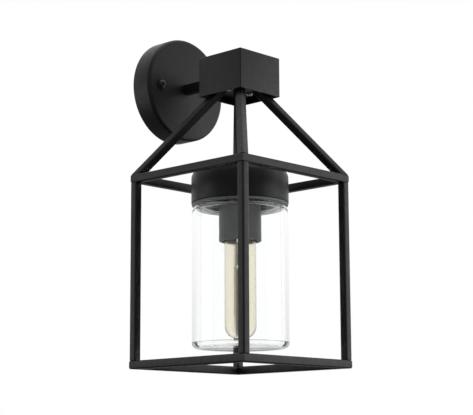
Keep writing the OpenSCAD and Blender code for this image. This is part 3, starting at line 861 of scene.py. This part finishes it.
def make_cage():
    low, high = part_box("top_rail_front")
    half = high.x
    tube_half = (high.z - low.z) / 2
    corner = 1.6 * MM
    reach = half - tube_half
    for name in ("top_rail", "bottom_rail"):
        height = middle(f"{name}_front").z
        for k, side in enumerate(SIDES):
            turn = Matrix.Rotation(TURN / 4 * k, 4, "Z")
            start, end = Vector((-reach, -reach, height)), Vector((reach, -reach, height))
            rail = bar(start, end, Z_AXIS, tube_half, corner, Vector((1, -1, 0)), Vector((1, 1, 0)), 0.12 * MM)
            piece(f"{name}_{side}_tube", moved(rail, Matrix.Translation(AXIS) @ turn), f"{name}_{side}")
    for k, at in enumerate(CORNERS):
        low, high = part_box(f"post_{at}")
        mid = (low + high) / 2
        start, end = Vector((mid.x, mid.y, low.z)), Vector((mid.x, mid.y, high.z))
        piece(f"post_{at}_tube", bar(start, end, X_AXIS, tube_half, corner), f"post_{at}")
        make_roof_bar(k, at, tube_half, corner)


def make_roof_bar(k, at, tube_half, corner):
    """A sloping bar with one edge outward, from the cage's corner to the head plate."""
    low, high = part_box(f"roof_bar_{at}")
    out = (Matrix.Rotation(TURN / 4 * k, 3, "Z") @ Vector((-1, -1, 0))).normalized()
    edge = (tube_half - corner) * math.sqrt(2) + corner
    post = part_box(f"post_{at}")
    post_corners = [Vector((x.x, y.y, 0)) for x in post for y in post]
    outer_foot = max((p - AXIS).dot(out) for p in post_corners) - corner * (math.sqrt(2) - 1)
    slope = math.atan2(high.z - low.z, outer_foot - ROOF_TOP)
    inset = edge / math.sin(slope)
    foot = AXIS + out * (outer_foot - inset) + Z_AXIS * low.z
    top = AXIS + out * (ROOF_TOP - inset) + Z_AXIS * high.z
    along = (top - foot).normalized()
    level = Z_AXIS.cross(out)
    across = (level + along.cross(level)).normalized()
    beam = bar(foot, top, across, tube_half, corner, Z_AXIS, Z_AXIS, 0.15 * MM)
    piece(f"roof_bar_{at}_tube", beam, f"roof_bar_{at}")


# ----------------------------------------------------------- stem and cap


def make_stem():
    r, bottom, top = measured("stem_tube")
    stem = turned(outline([
        (5.2, bottom, 0.2), (r + 0.5, bottom, 0.3), (r, bottom + 0.9, 0.6), (r, top - 0.5, 0.4),
        (r - 0.3, top, 0.1), (5.2, top),
    ], True), SMALL_ROUND, ring=True)
    piece("stem_round_tube", raised(stem, AXIS), "stem_tube")
    _, bottom, top = measured("stem_nipple")
    rod = threaded_tube(10, 7, bottom, top, 1.0)
    piece("stem_threaded_nipple", raised(rod, AXIS), "stem_nipple")
    low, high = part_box("stem_nuts")
    nuts = bmesh.new()
    for z in (low.z, high.z - 5 * MM):
        join(nuts, hex_nut(16, 10.1, 5), Matrix.Translation(AXIS + Z_AXIS * z))
    piece("stem_hex_nuts", nuts, "stem_nuts")
    low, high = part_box("cap_washer")
    piece("cap_sealing_washer", raised(washer(5.2, high.x / MM, 1.5, 0.3), AXIS + Z_AXIS * low.z), "cap_washer")


JAR_PITCH = 6.0  # of the glass thread, in millimetres


def make_cap():
    r, bottom, top = measured("lamp_cap")
    wall, collar, collar_wall, collar_high = 2.0, 42.65, 2.0, 17.4
    inner = [(collar, bottom + h) for h in rows(0.6, collar_high - 0.4, 0.4)]
    points = outline([
        (5.2, top), (r, top, 10), (r, bottom, 0.5), (r - wall, bottom, 0.5),
        (r - wall, bottom + collar_high - 2, 0.8), (collar + collar_wall, bottom + collar_high - 2, 0.8),
        (collar + collar_wall, bottom, 0.4), (collar + 0.3, bottom, 0.2)])
    points += [Vector(p) * MM for p in inner]
    points += outline([
        (collar + 0.4, bottom + collar_high, 0.2), (r - wall, bottom + collar_high, 0.6),
        (r - wall, top - wall, 8), (5.2, top - wall)])

    def ridge(radius, z, a):
        if abs(radius - collar * MM) > 0.01 * MM:
            return radius, z
        return radius + 0.9 * MM * (1 - thread(z + JAR_PITCH / 2 * MM, a, JAR_PITCH * MM, 3.4 * MM)), z

    piece("lamp_cap_cup", raised(turned(points, 160, ring=True, shape=ridge), AXIS), "lamp_cap")


def make_seal():
    r, bottom, top = measured("glass_seal")
    waist = (bottom + top) / 2
    ring = turned(outline([
        (42.45, bottom, 0.2), (r - 0.1, bottom, 0.8), (r, bottom + 0.9, 0.3), (r - 0.35, waist, 0.25),
        (r, top - 0.9, 0.3), (r - 0.1, top, 0.8), (42.45, top, 0.2),
    ], True), ROUND, ring=True)
    piece("jar_silicone_seal", raised(ring, AXIS), "glass_seal")


# --------------------------------------------------------------- glass jar


def make_jar():
    """Pressed jar: a thick floor on a standing ring, a plain wall and a threaded neck."""
    r, bottom, top = measured("glass_jar")
    shoulder = top - 16
    neck, bore, wall, floor = 42.25, 36.75, 3.0, 3.0
    crest_low, crest_high = shoulder + 2.2, top - 1.6
    outside = outline([
        (0, bottom + 0.5), (34, bottom + 0.5, 30), (41, bottom, 6), (r, bottom, 5), (r, shoulder, 5.5),
        (neck - 0.6, shoulder, 0.8), (neck - 0.6, crest_low)])
    neck_rows = [Vector((neck, z)) * MM for z in rows(crest_low, crest_high, 0.4)]
    inside = outline([
        (neck - 0.6, crest_high), (neck - 0.8, top, 1.6), (bore, top, 1.6), (bore, shoulder - wall, 2.0),
        (r - wall, shoulder - wall, 4.0), (r - wall, bottom + floor, 3.6), (0, bottom + floor)])

    def ridge(radius, z, a):
        if abs(radius - neck * MM) > 0.01 * MM:
            return radius, z
        ease = min(1, (z / MM - crest_low) / 1.5, (crest_high - z / MM) / 1.5)
        return radius - 0.6 * MM * (1 - max(ease, 0) * thread(z, a, JAR_PITCH * MM, 2.4 * MM)), z

    jar = turned(outside + neck_rows + inside, 160, shape=ridge)
    piece("glass_jar_body", raised(jar, AXIS), "glass_jar", sharp=60)


# ------------------------------------------------------------- lamp holder


def make_holder():
    r, bottom, top = measured("holder_base")
    base = turned(outline([
        (5.05, top, 0.3), (8.5, top, 0.4), (8.5, top - 1.2, 0.6), (r, top - 1.2, 3.0), (r, bottom, 0.3),
        (r - 2, bottom, 0.3), (r - 2, top - 6, 1.0), (5.05, top - 6, 0.3),
    ], True), ROUND, ring=True)
    piece("holder_upper_shell", raised(base, AXIS), "holder_base")

    _, bottom, top = measured("holder_insert")
    insert = turned(outline([
        (0, bottom), (17.05, bottom, 0.5), (17.05, top - 3, 0.3), (19.6, top - 3, 0.3), (19.6, top, 0.8),
        (12.5, top, 0.5), (12.0, top - 0.4, 0.3), (0, top - 0.4)]), 96)
    piece("holder_ceramic_insert", raised(insert, AXIS), "holder_insert")
    piece("holder_terminal_blocks", soften(from_node("holder_terminals"), 0.2), "holder_terminals")
    piece("holder_terminal_screws", slotted("holder_screws", 3.6, upright=True), "holder_screws")
    make_skirt()
    make_screw_shell()
    _, bottom, top = measured("centre_contact")
    tongue = turned(outline([
        (0, bottom - 0.02), (2.5, bottom + 0.02, 2), (4, bottom + 0.15, 0.15), (4, bottom + 0.5, 0.15),
        (1.5, bottom + 0.6, 0.3), (1.5, top), (0, top)]), SMALL_ROUND)
    piece("spring_centre_contact", raised(tongue, AXIS), "centre_contact")


def make_skirt():
    """Skirt with an eased mouth, grip notches and a shallow line under its upper edge."""
    r, bottom, top = measured("holder_skirt")
    seam = top - 5
    skirt = turned(outline([
        (r - 3, bottom + 1.6, 0.8), (r - 2.2, bottom, 0.6), (r, bottom, 0.9), (r, seam - 2.2, 0.3),
        (r - 0.35, seam - 1.9, 0.2), (r - 0.35, seam - 1.3, 0.2), (r, seam - 1.0, 0.3), (r, seam, 0.3),
        (19.65, seam, 0.2), (19.65, top, 0.3), (17.25, top, 0.3), (17.25, seam - 2, 0.4),
        (r - 3, seam - 2.4, 0.5)], True), ROUND, ring=True)
    cutters = bmesh.new()
    for k in range(12):
        low, high = Vector((r - 1.5, -1.1, bottom - 1)), Vector((r + 1.5, 1.1, bottom + 1.4))
        notch = block(bmesh.new(), low * MM, high * MM)
        join(cutters, notch, Matrix.Rotation(TURN * k / 12, 4, "Z"))
    piece("holder_lower_skirt", raised(carve(skirt, cutters), AXIS), "holder_skirt")


E27_PITCH = 3.63


def make_screw_shell():
    _, bottom, top = measured("screw_shell")
    wall = 0.45
    levels = rows(bottom + 0.8, top - 1.5, 0.45)
    points = outline([(6.6, top - 0.5), (13.6, top - 0.5, 0.4)])[:-1]
    points += [Vector((13.45, z)) * MM for z in reversed(levels)] + [Vector((13.7, bottom)) * MM]
    points += [Vector((13.7 + wall * 0.6, bottom)) * MM] + [Vector((13.95, z)) * MM for z in levels]
    points += outline([(13.95, top - 1), (13.95, top, 0.5), (6.6, top)])[1:]

    def ridge(radius, z, a):
        if not any(abs(radius - x * MM) < 0.01 * MM for x in (13.45, 13.95)):
            return radius, z
        return radius + 0.4 * MM * (thread(z, a, E27_PITCH * MM, E27_PITCH * MM) - 0.5) + 0.2 * MM, z

    shell = turned(points, 96, ring=True, shape=ridge)
    piece("brass_screw_shell", raised(shell, AXIS), "screw_shell", sharp=60)


# -------------------------------------------------------------------- lamp

TIP_GAP = 0.03  # from the tip contact and the insulator to the plane they share, in millimetres


def make_lamp_cap():
    r, bottom, top = measured("bulb_cap")
    levels = rows(bottom + 2.2, top - 1.2, 0.4)
    points = outline([(12.5, top), (r - 0.6, top, 0.3)])
    points += [Vector((r, z)) * MM for z in reversed(levels)]
    points += outline([
        (r - 0.7, bottom + 1.6, 0.4), (r - 0.25, bottom + 0.4, 0.4), (r - 0.25, bottom, 0.1), (12.5, bottom)])

    def ridge(radius, z, a):
        if abs(radius - r * MM) > 0.005 * MM:
            return radius, z
        return radius - 0.9 * MM * (1 - thread(z, a, E27_PITCH * MM, E27_PITCH * MM)), z

    piece("lamp_screw_cap", raised(turned(points, 96, ring=True, shape=ridge), AXIS), "bulb_cap", sharp=60)
    _, bottom, top = measured("bulb_insulator")
    face = top - TIP_GAP
    cone = turned(outline([
        (0, bottom), (12.4, bottom, 0.3), (11.2, bottom + 0.8, 0.8), (6.2, face - 0.3, 1.2), (4.9, face, 0.3),
        (0, face)]), 96)
    piece("lamp_insulator", raised(cone, AXIS), "bulb_insulator")
    _, bottom, top = measured("bulb_contact")
    foot = bottom + TIP_GAP
    tip = turned(outline([
        (0, foot), (4.6, foot, 0.1), (4.6, foot + 0.5, 0.3), (3.2, top, 1.2), (0, top)]), SMALL_ROUND)
    piece("lamp_tip_contact", raised(tip, AXIS), "bulb_contact")


def make_lamp_glass():
    r, bottom, top = measured("bulb_envelope")
    wall, neck, neck_high, tip = 0.9, 12.3, 8.0, 12.75
    shoulder = top - neck_high
    outside = outline([
        (0, bottom), (r, bottom, tip), (r, shoulder - 1.0, 5.5), (neck, shoulder + 0.2, 2.0), (neck, top)])
    inside = outline([
        (neck - wall, top), (neck - wall, shoulder - 0.6, 2.5), (r - wall, shoulder - 2.0, 5.0),
        (r - wall, bottom + wall, tip - wall), (0, bottom + wall)])
    piece("lamp_amber_glass", raised(turned(outside + inside, 96), AXIS), "bulb_envelope", sharp=60)


def make_lamp_stem():
    """Flared glass stem, flattened at its press, with a centre rod to the lower supports."""
    flare, bottom, top = measured("bulb_stem")
    press_top, press_low = top - 22, top - 34
    tip = measured("bulb_wires")[2] - 0.4
    profile = outline([
        (0, bottom), (0.95, bottom, 0.6), (1.0, tip - 2), (1.0, tip - 1.6, 0.4), (3.9, tip - 1.0, 1.2),
        (3.9, tip + 1.6, 1.2), (2.4, tip + 3.0, 1.5), (2.4, press_low, 1.0), (3.2, press_low + 2, 2.0),
        (3.2, press_top, 4), (4.2, top - 17, 6), (flare, top, 1), (flare - 0.9, top), (3.4, top - 16.5, 6),
        (2.3, press_top + 1), (0, press_top)])

    def flatten(radius, z, a):
        depth = max(0.0, 1 - abs(z / MM - (press_top + press_low) / 2) / 6.5)
        return radius * (1 + depth * 0.55 * math.cos(2 * a)), z

    piece("lamp_glass_stem", raised(turned(profile, 64, shape=flatten), AXIS), "bulb_stem", sharp=60)


def make_filaments():
    """Upright filament sticks, each held by a bent wire at both ends."""
    sticks, supports = bmesh.new(), bmesh.new()
    source = from_node("bulb_filaments")
    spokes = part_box("bulb_wires")
    for low, high in islands(source):
        centre = (low + high) / 2
        r = (high.x - low.x) / 2 / MM
        out = Vector((centre.x, centre.y, 0)) - AXIS
        ease = min(r * 0.6, 0.5)
        bottom, top = low.z / MM + 1.2, high.z / MM - 1.2
        stick = turned(outline([(0, bottom), (r, bottom, ease), (r, top, ease), (0, top)]), 20)
        join(sticks, stick, Matrix.Translation((centre.x, centre.y, 0)))
        ends = ((spokes[1].z, high.z - MM, 2.2 * MM, 1), (spokes[0].z, low.z + MM, 0.5 * MM, -1))
        for level, end, hub, sign in ends:
            z = level - sign * 0.4 * MM
            start = AXIS + out.normalized() * hub + Z_AXIS * z
            path = [
                start, start.lerp(AXIS + out + Z_AXIS * z, 0.6),
                AXIS + out * 0.96 + Z_AXIS * (z - sign * 0.1 * MM),
                AXIS + out + Z_AXIS * (z - sign * 0.7 * MM), Vector((centre.x, centre.y, end)),
            ]
            tube(supports, path, 0.28 * MM, 8, Z_AXIS.cross(out).normalized())
    source.free()
    piece("lamp_filament_sticks", sticks, "bulb_filaments")
    piece("lamp_support_wires", supports, "bulb_wires")


# ------------------------------------------------------------------- leads


def earth_stripe(face):
    """1 on the yellow bands of the earth lead, 0 on the green ones."""
    return int((face.calc_center_median().x / MM * 0.9) % 2 < 1)


def make_leads():
    """The leads follow their CAD solids, with a rounder section."""
    for node in ("lead_live", "lead_neutral", "lead_earth"):
        bm = from_node(node)
        bmesh.ops.join_triangles(bm, faces=bm.faces, angle_face_threshold=0.6, angle_shape_threshold=3.1)
        bmesh.ops.subdivide_edges(bm, edges=bm.edges, cuts=1, use_grid_fill=True, smooth=0.35)
        name = node.replace("lead_", "") + "_lead_wire"
        if node == "lead_earth":
            piece(name, bm, node, sharp=70, extra=EARTH_YELLOW, paint=earth_stripe)
        else:
            piece(name, bm, node, sharp=70)


# ------------------------------------------------------------------- studio

FLOOR_Z = -1.8
FLOOR_LIGHT_Z = -0.9  # below the lantern, so it lights the floor alone
WHITE_THROUGH_GLASS = 1.13  # strength of the white background seen through glass


def make_floor():
    """A pale floor well below, as under a lantern on a wall."""
    bm = bmesh.new()
    bmesh.ops.create_circle(bm, cap_ends=True, segments=96, radius=9)
    mesh = bpy.data.meshes.new("floor")
    bm.to_mesh(mesh)
    bm.free()
    floor = bpy.data.objects.new("floor", mesh)
    floor.location = (0, 0, FLOOR_Z)
    scene.collection.objects.link(floor)
    m = Nodes("pale_floor")
    m.colour(m.noise(60, 3), (0.86, 0.86, 0.85), (0.88, 0.88, 0.87))
    m.set(rough=0.8, specular=0.2)
    mesh.materials.append(m.material)
    floor.visible_diffuse = floor.visible_glossy = False


def make_world(back):
    """White studio.

    What lights the object is bright above and behind it, dim below and in front. The plain
    white is only for what is seen directly or through glass.
    """
    world = bpy.data.worlds.new("studio")
    scene.world = world
    world.use_nodes = True
    tree = world.node_tree
    tree.nodes.clear()
    new, link = tree.nodes.new, tree.links.new
    place = new("ShaderNodeTexCoord").outputs["Generated"]

    def toward(direction, start, end, low, high):
        """Strength that goes smoothly from low to high as a ray turns toward a direction."""
        dot = new("ShaderNodeVectorMath")
        dot.operation = "DOT_PRODUCT"
        dot.inputs[1].default_value = Vector(direction).normalized()
        link(place, dot.inputs[0])
        spread = new("ShaderNodeMapRange")
        spread.interpolation_type = "SMOOTHSTEP"
        set_range(spread, start, end, low, high)
        link(dot.outputs["Value"], spread.inputs["Value"])
        return spread.outputs[0]

    def joined(operation, a, b):
        node = new("ShaderNodeMath")
        node.operation = operation
        link(a, node.inputs[0])
        link(b, node.inputs[1])
        return node.outputs[0]

    depth = toward((-back.x, -back.y, 0), -0.35, 0.90, 0.50, 1.5)
    height = toward((0, 0, 1), -0.50, 0.45, 0.12, 0.80)
    lit, seen = new("ShaderNodeBackground"), new("ShaderNodeBackground")
    for background in (lit, seen):
        background.inputs["Color"].default_value = (1, 1, 1, 1)
    link(joined("MULTIPLY", depth, height), lit.inputs["Strength"])
    path = new("ShaderNodeLightPath")
    through = new("ShaderNodeMapRange")
    set_range(through, 0.0, 1.0, 1.0, WHITE_THROUGH_GLASS)
    link(path.outputs["Is Transmission Ray"], through.inputs["Value"])
    link(through.outputs[0], seen.inputs["Strength"])
    direct = joined("MAXIMUM", path.outputs["Is Camera Ray"], path.outputs["Is Transmission Ray"])
    scattered = new("ShaderNodeMath")
    scattered.operation = "LESS_THAN"
    scattered.inputs[1].default_value = 0.5
    link(joined("ADD", path.outputs["Diffuse Depth"], path.outputs["Glossy Depth"]), scattered.inputs[0])
    mix = new("ShaderNodeMixShader")
    link(joined("MULTIPLY", direct, scattered.outputs[0]), mix.inputs[0])
    link(lit.outputs[0], mix.inputs[1])
    link(seen.outputs[0], mix.inputs[2])
    out = new("ShaderNodeOutputWorld")
    link(mix.outputs[0], out.inputs["Surface"])


def make_light(name, direction, distance, size, power, height=-0.15):
    data = bpy.data.lights.new(name, "AREA")
    data.shape = "RECTANGLE"
    data.size, data.size_y = size
    data.energy = power
    light = bpy.data.objects.new(name, data)
    target = AXIS + Z_AXIS * height
    light.location = target + Vector(direction).normalized() * distance
    light.rotation_mode = "QUATERNION"
    light.rotation_quaternion = (target - light.location).to_track_quat("-Z", "Y")
    light.visible_camera = light.visible_transmission = False
    scene.collection.objects.link(light)


def make_floor_light():
    data = bpy.data.lights.new("floor_wash", "AREA")
    data.shape = "SQUARE"
    data.size = 9
    data.energy = 130
    light = bpy.data.objects.new("floor_wash", data)
    light.location = (0, 0, FLOOR_LIGHT_Z)
    light.visible_camera = light.visible_transmission = light.visible_glossy = False
    scene.collection.objects.link(light)


def make_studio(back):
    make_floor()
    make_world(back)
    make_light("softbox_right", (0.72, -0.69, 0.05), 0.9, (1.0, 0.8), 3.6, -0.2)
    make_light("softbox_left", (-0.74, 0.66, 0.05), 1.0, (0.6, 0.6), 1.2, -0.2)
    make_light("top", (0.1, -0.3, 1.0), 1.8, (1.2, 1.2), 6)
    make_floor_light()
    scene.view_settings.view_transform = "Standard"
    scene.cycles.max_bounces = 24
    scene.cycles.transmission_bounces = 20
    scene.cycles.glossy_bounces = 8


# --------------------------------------------------------------- the object

camera_back = make_camera()
for node_name, node_object in frame["nodes"].items():
    node_object.data.materials.clear()
    node_object.data.materials.append(MATERIALS[SLOT_OF[node_name]])

make_canopy()
make_gasket()
make_bracket()
make_terminals()
make_arm()
make_head_box()
make_cage()
make_stem()
make_cap()
make_seal()
make_jar()
make_holder()
make_lamp_cap()
make_lamp_glass()
make_lamp_stem()
make_filaments()
make_leads()
make_studio(camera_back)
